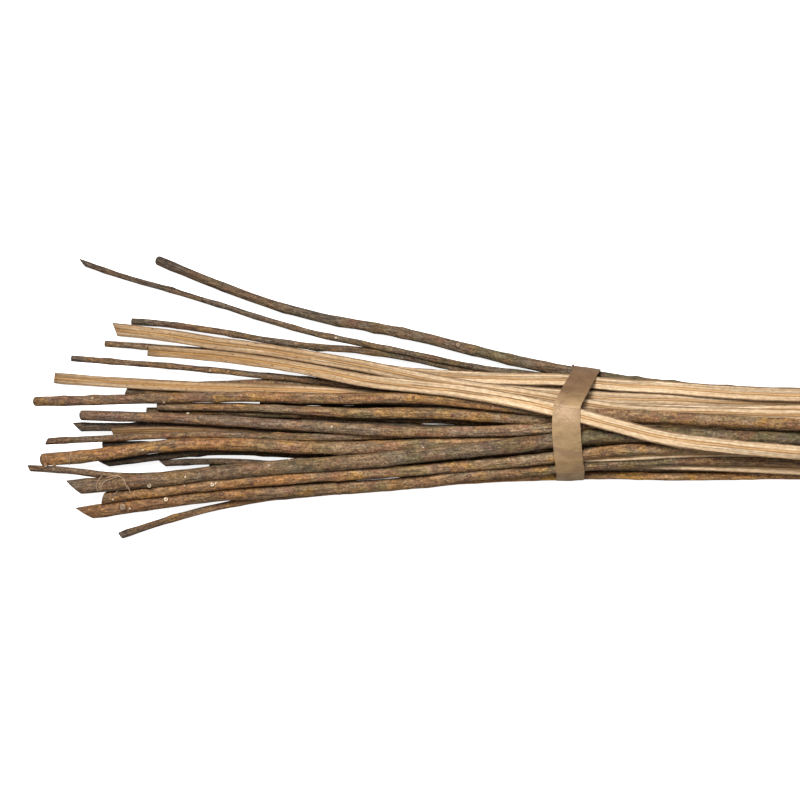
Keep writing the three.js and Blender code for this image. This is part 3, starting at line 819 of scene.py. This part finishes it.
def pith_masks(nodes, place):
    """The line down the middle of a split face, and its two dark edges, which come and go."""
    wander = nodes.minus(nodes.noise(nodes.stretched(place, (0.1, 0, 0)), 120.0, 2.0), 0.5)
    from_middle = nodes.total(nodes.parts(place)[1], (wander, 3.2 * MM))
    width = nodes.noise(nodes.stretched(place, (0.25, 0, 0)), 100.0, 2.0)
    width = nodes.total(0.45 * MM, (width, 1.1 * MM))
    past = nodes.minus(nodes.math("ABSOLUTE", from_middle), width)
    inside = nodes.spread(past, 0.2 * MM, -0.25 * MM)
    edges = nodes.spread(nodes.math("ABSOLUTE", past), 0.55 * MM, 0.2 * MM)
    breaks = nodes.spread(nodes.noise(nodes.stretched(place, (1, 30, 0)), 26.0, 3.0), 0.3, 0.5)
    return inside, nodes.times(edges, breaks)


def split_material(settings, fibres, stains):
    """Split wood: torn pale fibres, a pith line, golden specked old wood, and a dark line along
    both edges of the face that is partly the bark's rim and partly painted shade of the gaps
    between twigs.
    """
    nodes, shader = new_material("split_face")
    place = nodes.attribute("grain_place")
    along = nodes.parts(nodes.here())[0]
    tone = nodes.parts(nodes.attribute("tone"))
    age = nodes.group(stains, Place=place, Patch_Size=26.0, Dapple_Size=420.0)
    fine = nodes.group(fibres, Place=place, Stretch=50.0, Scale=1000.0, Crack_Scale=330.0)
    broad = nodes.group(fibres, Place=place, Stretch=60.0, Scale=480.0, Crack_Scale=190.0)
    patchy = nodes.times(nodes.times(nodes.minus(age["Patches"], 0.5), 0.5), tone[0])
    weathered = nodes.plus(nodes.spread(along, -0.05, -0.31), patchy, clamp=True)
    weathered = nodes.times(weathered, tone[2])
    base = nodes.coats(
        nodes.mix(weathered, settings.fresh_wood, settings.aged_wood),
        (broad["Dark"], 0.2, settings.shaded_wood),
        (fine["Dark"], 0.36, settings.shaded_wood),
    )
    pale = nodes.mix(weathered, settings.pale_wood, settings.fresh_wood)
    base = nodes.coats(base, (nodes.math("MAXIMUM", fine["Pale"], broad["Pale"]), 0.5, pale))
    base = nodes.shaded(base, age["Dapples"], (0.84, 0.8, 0.74), (1.12, 1.12, 1.12))
    inside, edges = pith_masks(nodes, place)
    cracks = nodes.math("MAXIMUM", fine["Cracks"], broad["Cracks"])
    speckled = nodes.total(0.12, (weathered, 0.85))
    # The dark line along both edges of the face: partly the bark's own rim, partly painted shade
    # of the gaps between neighbouring twigs
    ragged = nodes.noise(nodes.stretched(place, (0.3, 1, 1)), 500.0)
    rim = nodes.total(nodes.attribute("across", "Fac"), (ragged, 0.3))
    base = nodes.coats(
        base,
        (inside, 0.5, settings.pith),
        (edges, 0.75, settings.pith_edge),
        (cracks, 0.4, settings.crack),
        (age["Specks"], speckled, settings.crack),
        (nodes.spread(rim, 0.92, 1.08), 0.85, settings.rim),
    )
    nodes.finish(shader, nodes.tinted(base, tone[1]), 0.72, 0.3)
    relief = nodes.total(fine["Height"], (broad["Height"], 0.5), (edges, -0.6))
    nodes.bump(shader, relief, 0.4 * MM)


def cut_material(stains):
    """The sawn or clipped end of a twig: dull wood with growth rings and a dark pith."""
    nodes, shader = new_material("cut_end")
    place = nodes.attribute("grain_place")
    part = nodes.parts(place)
    flat = nodes.add("ShaderNodeCombineXYZ", X=0.0, Y=part[1], Z=part[2]).outputs[0]
    distance = nodes.add("ShaderNodeVectorMath", {"operation": "LENGTH"})
    nodes.feed(distance, "0", flat)
    reach = nodes.total(distance.outputs["Value"], (nodes.noise(place, 500.0, 2.0), 0.6 * MM))
    rings = nodes.math("SINE", nodes.times(reach, RING_RATE))
    age = nodes.group(stains, Place=place, Patch_Size=160.0, Dapple_Size=900.0)
    pith = nodes.spread(reach, 1.3 * MM, 0.6 * MM)
    base = nodes.coats(
        (0.36, 0.25, 0.15, 1),
        (nodes.spread(rings, 0.2, 1.0), 0.4, (0.16, 0.1, 0.055, 1)),
        (age["Patches"], 0.7, (0.13, 0.095, 0.065, 1)),
        (pith, 0.8, (0.06, 0.035, 0.02, 1)),
    )
    nodes.finish(shader, base, 0.85)
    nodes.bump(shader, nodes.total(rings, (pith, -2.0)), 0.15 * MM)


def pruned_material():
    """The pale face where a side shoot was cut off."""
    nodes, shader = new_material("pruned_face")
    cloud = nodes.noise(nodes.attribute("grain_place"), 650.0, 4.0)
    base = nodes.mix(nodes.spread(cloud, 0.42, 0.6), (0.78, 0.66, 0.5, 1), (0.28, 0.15, 0.07, 1))
    nodes.finish(shader, base, 0.8)
    nodes.bump(shader, cloud, 0.3 * MM)


def creases(nodes, here, part):
    """A mask of soft straight folds, each at an angle across the paper and a place along it."""
    wobble = nodes.times(nodes.noise(here, 90.0, 2.0), 2.0 * MM)
    found = 0.0
    for degrees, place in CREASES:
        turn = math.radians(degrees)
        along = nodes.times(part[0], math.sin(turn))
        reach = nodes.plus(nodes.times(part[1], math.cos(turn)), along)
        off = nodes.minus(nodes.plus(reach, wobble), place * MM)
        line = nodes.spread(nodes.math("ABSOLUTE", off), 0.7 * MM, 0.05 * MM)
        found = nodes.math("MAXIMUM", found, line)
    return nodes.times(found, nodes.spread(nodes.noise(here, 70.0, 1.0), 0.35, 0.6))


def paper_material(settings, stains):
    """Brown wrapping paper: ribs, fibres and soft creases, with painted shade along the creases
    and on the far side, and golden painted shade on the near side.
    """
    nodes, shader = new_material("brown_paper")
    here = nodes.here()
    part = nodes.parts(here)
    age = nodes.group(stains, Place=here, Patch_Size=45.0, Dapple_Size=150.0)
    fibre = nodes.noise(nodes.stretched(here, (1, 0.25, 0.25)), 1300.0, 4.0, 0.7)
    crease = creases(nodes, here, part)
    base = nodes.coats(
        nodes.mix(age["Patches"], settings.paper, settings.pink_paper),
        # painted shade: the far side of the band, towards +Y, is darkened
        (nodes.spread(part[1], 0.008, 0.03), 0.82, settings.dark_fibre_and_shade_paper),
        # painted shade: the near side of the band, towards -Y, is darker and golden
        (nodes.spread(part[1], -0.02, -0.042), 0.7, settings.near_side_shade_paper),
    )
    base = nodes.shaded(base, age["Dapples"], (0.82, 0.8, 0.78), (1.12, 1.12, 1.12))
    base = nodes.coats(
        base,
        (nodes.spread(fibre, 0.5, 0.75), 0.3, settings.dark_fibre_and_shade_paper),
        # painted shade along the creases
        (crease, 0.18, settings.dark_fibre_and_shade_paper),
    )
    nodes.finish(shader, base, nodes.total(0.62, (age["Dapples"], -0.2)))
    ribs = nodes.math("SINE", nodes.times(part[0], 2 * math.pi / RIB_SPACING))
    nodes.bump(shader, nodes.total(fibre, (ribs, 0.2), (crease, -2.5)), 0.14 * MM)


def rootlet_material():
    """Thin dry root, pale brown."""
    nodes, shader = new_material("rootlet")
    cloud = nodes.noise(nodes.here(), 400.0, 2.0)
    nodes.finish(shader, nodes.mix(cloud, (0.3, 0.19, 0.11, 1), (0.45, 0.31, 0.2, 1)), 0.8)


def floor_material():
    """A pale floor that looks evenly lit, and throws little light back up."""
    nodes, shader = new_material("pale_floor")
    nodes.finish(shader, (0.9, 0.9, 0.9, 1), 0.9)
    nodes.feed(shader, "Emission Color", (1, 1, 1, 1))
    nodes.feed(shader, "Emission Strength", FLOOR_GLOW)
    dull = nodes.add("ShaderNodeBsdfDiffuse", Color=(0.4, 0.38, 0.36, 1))
    seen = nodes.add("ShaderNodeLightPath").outputs["Is Camera Ray"]
    both = nodes.add("ShaderNodeMixShader")
    for key, value in (("0", seen), ("1", dull.outputs[0]), ("2", shader.outputs[0])):
        nodes.feed(both, key, value)
    surface = next(n for n in nodes.tree.nodes if n.bl_idname == "ShaderNodeOutputMaterial")
    nodes.feed(surface, "Surface", both.outputs[0])


def material_called(name):
    found = bpy.data.materials.get(name)
    if found is None:
        raise RuntimeError(f"run Make Finishes first: there is no material {name}")
    return found


# Bark tones by round twig, at its left end and from the band on: how orange, light and purple

TONES = {
    "01": ((0.1, 0.52, 0.5), (0.12, 0.78, 0.1)),
    "02": ((0.15, 0.5, 0.5), (0.15, 0.75, 0.1)),
    "03": ((0.25, 0.66, 0.4), (0.15, 0.85, 0.1)),
    "04": ((0.3, 0.9, 0.2), (0.2, 0.95, 0.1)),
    "05": ((0.3, 0.78, 0.5), (0.2, 0.9, 0.2)),
    "07": ((0.5, 0.88, 0.5), (0.5, 1.2, 0)),
    "08": ((0.4, 0.6, 0.1), (0.2, 0.8, 0)),
    "09": ((0.5, 1.1, 0), (0.3, 1.25, 0)),
    "12": ((0.1, 0.88, 0.85), (0.2, 1.35, 0.3)),
    "13": ((0, 0.6, 0.4), (0, 0.8, 0)),
    "14": ((0, 0.55, 0.6), (0.1, 0.95, 0)),
    "15": ((0.35, 0.85, 0.4), (0.2, 1, 0)),
    "16": ((0.75, 1.05, 0.1), (0.25, 1.4, 0)),
    "17": ((0, 0.36, 0.2), (0.1, 0.9, 0)),
    "18": ((0.2, 0.86, 0.3), (0, 0.92, 0)),
    "19": ((0.3, 0.75, 0.3), (0.2, 0.9, 0)),
    "20": ((0, 0.38, 0.5), (0.1, 0.9, 0)),
    "21": ((0.1, 0.42, 0.6), (0.2, 1, 0)),
    "22": ((0.95, 1.1, 0), (0.4, 1.35, 0)),
    "23": ((0.8, 0.86, 0.1), (0.35, 1.2, 0)),
    "24": ((0.35, 0.6, 0.2), (0.7, 1.7, 0)),
}


def tones_of(node, chance):
    plain = (chance.uniform(0.1, 0.5), chance.uniform(0.68, 0.85), chance.uniform(0, 0.4))
    return TONES.get(node[-2:], (plain, (plain[0] / 2, plain[1] + 0.2, 0)))


# Operators


class TWIGS_OT_finishes(bpy.types.Operator):
    """Make the shared node groups and every finish"""

    bl_idname = "twigs.finishes"
    bl_label = "Make Finishes"

    def execute(self, context):
        fibres, stains = fibre_group(), stains_group()
        bark_material(context.scene.twigs_round, fibres, stains)
        split_material(context.scene.twigs_split, fibres, stains)
        cut_material(stains)
        pruned_material()
        paper_material(context.scene.twigs_band, stains)
        rootlet_material()
        floor_material()
        return {"FINISHED"}


class TWIGS_OT_round_twigs(bpy.types.Operator):
    """Model every round twig in its bark, with buds, pruned shoots and slanted cuts"""

    bl_idname = "twigs.round_twigs"
    bl_label = "Add Round Twigs"

    def execute(self, context):
        settings = context.scene.twigs_round
        finishes = [material_called(name) for name in ("dry_bark", "cut_end", "pruned_face")]
        for number, node in enumerate(ROUND_TWIGS):
            self.add_twig(node, number, settings, finishes)
        return {"FINISHED"}

    def add_twig(self, node, number, settings, finishes):
        chance = random.Random(ROUND_SEED + number)
        course = Course(node)
        rod = straight_rod(node + "_look", course, settings.sides, settings.step)
        swell_at_buds(rod, course, settings, chance)
        apply_modifiers(rod)
        roughen(rod, BARK_LUMPS, settings.unevenness)
        roughen(rod, BENDS, settings.crookedness, "Y")
        for end in (0, 1):
            cut_end(rod, course, end, blunt=end == 0 and node in BLUNT_ENDS)
        paint_faces(rod, is_cut, 1)
        stubs = []
        for group, fresh in ((PRUNED, True), (OLD_PRUNED, False)):
            for x, y, radius in group.get(node, ()):
                stub = pruned_stub(course, x * MM, y * MM, radius * MM)
                self.face_stub(stub, fresh)
                stubs.append(stub)
        for piece in (rod, *stubs):
            for finish in finishes:
                piece.data.materials.append(finish)
        if stubs:
            join_into(rod, stubs)
        store_straight_place(rod, number)
        store_tone(rod, course, tones_of(node, chance))
        bend_along(rod, course)
        finish_twig(rod, node)

    def face_stub(self, stub, fresh):
        """The cut inside a stub's collar is pale, apart from its pith, or dark all over if old."""
        outer = max(filter(is_cut, stub.data.polygons), key=lambda f: f.center.yz.length)
        for face in stub.data.polygons:
            if face.normal.dot(outer.normal) > 0.85:
                face.material_index = 2 if fresh and len(face.vertices) == 4 else 1


class TWIGS_OT_split_twigs(bpy.types.Operator):
    """Model every split twig, with its torn flat face and its round back in bark"""

    bl_idname = "twigs.split_twigs"
    bl_label = "Add Split Twigs"

    def execute(self, context):
        settings = context.scene.twigs_split
        finishes = [material_called(name) for name in ("split_face", "cut_end", "dry_bark")]
        for number, node in enumerate(SPLIT_TWIGS):
            self.add_twig(node, number, settings, finishes)
        return {"FINISHED"}

    def add_twig(self, node, number, settings, finishes):
        chance = random.Random(SPLIT_SEED + number)
        course = Course(node)
        rod = straight_rod(node + "_look", course, settings.sides, settings.step)
        flatten_face(rod, course.radius)
        roughen(rod, TORN_FIBRES, settings.fibre_depth, "Z")
        roughen(rod, TORN_EDGES, settings.raggedness, "Y")
        for end in (0, 1):
            cut_end(rod, course, end, blunt=False)
        paint_faces(rod, lambda f: f.normal.z < 0.35 and f.center.z < -0.06 * course.radius, 2)
        paint_faces(rod, is_cut, 1)
        for finish in finishes:
            rod.data.materials.append(finish)
        store_straight_place(rod, SPLIT_SHIFTS + number)
        tone = (chance.uniform(0.3, 0.6), chance.uniform(0.92, 1.05), chance.uniform(0.7, 1))
        store_tone(rod, course, (tone, tone))
        store_across(rod, course)
        bend_along(rod, course)
        finish_twig(rod, node)


class TWIGS_OT_band(bpy.types.Operator):
    """Model the paper band, one taut strip round the bundle with its ends glued underneath"""

    bl_idname = "twigs.band"
    bl_label = "Add Paper Band"

    def execute(self, context):
        settings = context.scene.twigs_band
        band = self.strip_between(self.edge_loops())
        add_modifier(band, "SUBSURF", levels=1, render_levels=1)
        add_modifier(
            band, "DISPLACE", texture=noise_texture("cockle", 14 * MM), strength=settings.waviness,
            mid_level=0.9, texture_coords="LOCAL",
        )
        add_modifier(band, "SOLIDIFY", thickness=settings.thickness, offset=-1)
        apply_modifiers(band)
        bpy.ops.object.shade_smooth_by_angle(angle=math.radians(50))
        band.data.materials.append(material_called("brown_paper"))
        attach(band, "root")
        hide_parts(BAND)
        return {"FINISHED"}

    def edge_loops(self):
        """The outer corners of the frame's band, along its left and its right edge."""
        corners = Course.corners_of(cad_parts[BAND])
        middle = sum(corners, Vector()) / len(corners)
        corners.sort(key=lambda c: math.atan2(c.z - middle.z, c.y - middle.y))
        count = len(corners)
        sides = ([], [])
        for i, corner in enumerate(corners):
            near = [corners[(i + k) % count].x for k in range(-8, 9)]
            sides[corner.x > (min(near) + max(near)) / 2].append(corner)
        return [self.outer_of(side, middle) for side in sides]

    def outer_of(self, side, middle):
        """Of each pair of corners, one inside and one outside the paper, the outer one."""
        kept = []
        for i, corner in enumerate(side):
            near = [side[i - 1], side[(i + 1) % len(side)]]
            pair = min(near, key=lambda c: (c - corner).length)
            if (corner - middle).yz.length >= (pair - middle).yz.length:
                kept.append(corner)
        return kept

    def strip_between(self, loops):
        """A sheet from one edge loop to the other, with even rows and columns."""
        edges = []
        for number, loop in enumerate(loops):
            edge = curve_through(f"band_edge_{number}", "POLY", self.evenly(loop, BAND_COLUMNS))
            edge.data.splines[0].use_cyclic_u = True
            edges.append(made_mesh(edge))
        band = edges[0]
        band.name = "paper_band_look"
        join_into(band, edges[1:])
        bpy.ops.object.mode_set(mode="EDIT")
        bpy.ops.mesh.select_all(action="SELECT")
        bpy.ops.mesh.bridge_edge_loops(number_cuts=BAND_ROWS)
        bpy.ops.mesh.normals_make_consistent(inside=False)
        leave_edit()
        return band

    def evenly(self, loop, count):
        """Points at even steps round a closed loop, from its lowest middle."""
        start = min(range(len(loop)), key=lambda i: abs(loop[i].y) + 4 * loop[i].z)
        loop = loop[start:] + loop[:start]
        spans = [(loop[(i + 1) % len(loop)] - loop[i]).length for i in range(len(loop))]
        total = sum(spans)
        points, i, passed = [], 0, 0.0
        for k in range(count):
            target = total * k / count
            while passed + spans[i] < target:
                passed += spans[i]
                i += 1
            share = (target - passed) / spans[i]
            points.append(loop[i].lerp(loop[(i + 1) % len(loop)], share))
        return points


class TWIGS_OT_rootlets(bpy.types.Operator):
    """Lay the few hair-like rootlets that cling to the twigs"""

    bl_idname = "twigs.rootlets"
    bl_label = "Add Rootlets"

    def execute(self, context):
        made = [
            self.rootlet(number, Course(node), points)
            for number, (node, points) in enumerate(ROOTLETS)
        ]
        rootlets = made[0]
        rootlets.name = "rootlets"
        join_into(rootlets, made[1:])
        bpy.ops.object.shade_smooth()
        rootlets.data.materials.append(material_called("rootlet"))
        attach(rootlets, "root")
        return {"FINISHED"}

    def rootlet(self, number, course, points):
        """One rootlet, laid over its twig from point to point."""
        places = []
        for x, y, height in points:
            near = min(course.sections, key=lambda s: abs(s["middle"].x - x * MM))
            top = near["middle"].z + near["radius"]
            places.append((x * MM, y * MM, top + height * MM - ROOTLET_SINK))
        thread = {"bevel_depth": ROOTLET_RADIUS, "bevel_resolution": 1, "use_fill_caps": True}
        return made_mesh(curve_through(f"rootlet_{number}", "BEZIER", places, **thread))


class TWIGS_OT_stage(bpy.types.Operator):
    """Set up the floor, the soft lights and the camera that looks straight down"""

    bl_idname = "twigs.stage"
    bl_label = "Set Up Stage"

    def execute(self, context):
        settings = context.scene.twigs_stage
        self.add_floor()
        self.add_camera(context, settings)
        for name, light in LIGHTS.items():
            self.add_light(name, *light)
        world = bpy.data.worlds.new("soft_daylight")
        world.use_nodes = True
        sky = world.node_tree.nodes["Background"].inputs
        sky["Color"].default_value = (1, 1, 1, 1)
        sky["Strength"].default_value = SKY_STRENGTH
        context.scene.world = world
        context.scene.view_settings.view_transform = "Standard"
        return {"FINISHED"}

    def add_floor(self):
        deselect_all()
        bpy.ops.mesh.primitive_plane_add(size=FLOOR_SIZE, location=(0, 0, 0))
        floor = bpy.context.object
        floor.name = "floor"
        floor.data.materials.append(material_called("pale_floor"))

    def add_camera(self, context, settings):
        sensor = 36.0
        data = bpy.data.cameras.new("camera")
        data.lens = settings.focal_length
        data.sensor_width = sensor
        distance = settings.view_width * settings.focal_length / sensor
        camera = bpy.data.objects.new("camera", data)
        camera.location = Vector(settings.view_centre) + UP * distance
        context.collection.objects.link(camera)
        context.scene.camera = camera

    def add_light(self, name, place, size, power):
        data = bpy.data.lights.new(name, "AREA")
        data.size = size
        data.energy = power
        light = bpy.data.objects.new(name, data)
        light.location = place
        light.rotation_mode = "QUATERNION"
        light.rotation_quaternion = Vector(place).to_track_quat("Z", "Y")
        bpy.context.collection.objects.link(light)


class TWIGS_PT_panel(bpy.types.Panel):
    """Lists the steps that build the bundle"""

    bl_idname = "TWIGS_PT_panel"
    bl_label = "Bundle of Twigs"
    bl_space_type = "VIEW_3D"
    bl_region_type = "UI"
    bl_category = "Twigs"

    def draw(self, context):
        for operator in OPERATORS:
            self.layout.operator(operator.bl_idname)


SETTINGS = {
    "twigs_round": RoundTwigSettings,
    "twigs_split": SplitTwigSettings,
    "twigs_band": BandSettings,
    "twigs_stage": StageSettings,
}
OPERATORS = (
    TWIGS_OT_finishes,
    TWIGS_OT_stage,
    TWIGS_OT_round_twigs,
    TWIGS_OT_split_twigs,
    TWIGS_OT_band,
    TWIGS_OT_rootlets,
)


def register():
    for group in SETTINGS.values():
        bpy.utils.register_class(group)
    for name, group in SETTINGS.items():
        setattr(bpy.types.Scene, name, bpy.props.PointerProperty(type=group))
    for operator in OPERATORS:
        bpy.utils.register_class(operator)
    bpy.utils.register_class(TWIGS_PT_panel)


def unregister():
    bpy.utils.unregister_class(TWIGS_PT_panel)
    for operator in reversed(OPERATORS):
        bpy.utils.unregister_class(operator)
    for name, group in SETTINGS.items():
        delattr(bpy.types.Scene, name)
        bpy.utils.unregister_class(group)


def main():
    register()
    bpy.ops.twigs.finishes()
    bpy.ops.twigs.stage()
    bpy.ops.twigs.round_twigs()
    bpy.ops.twigs.split_twigs()
    bpy.ops.twigs.band()
    bpy.ops.twigs.rootlets()


if __name__ == "__main__":
    main()
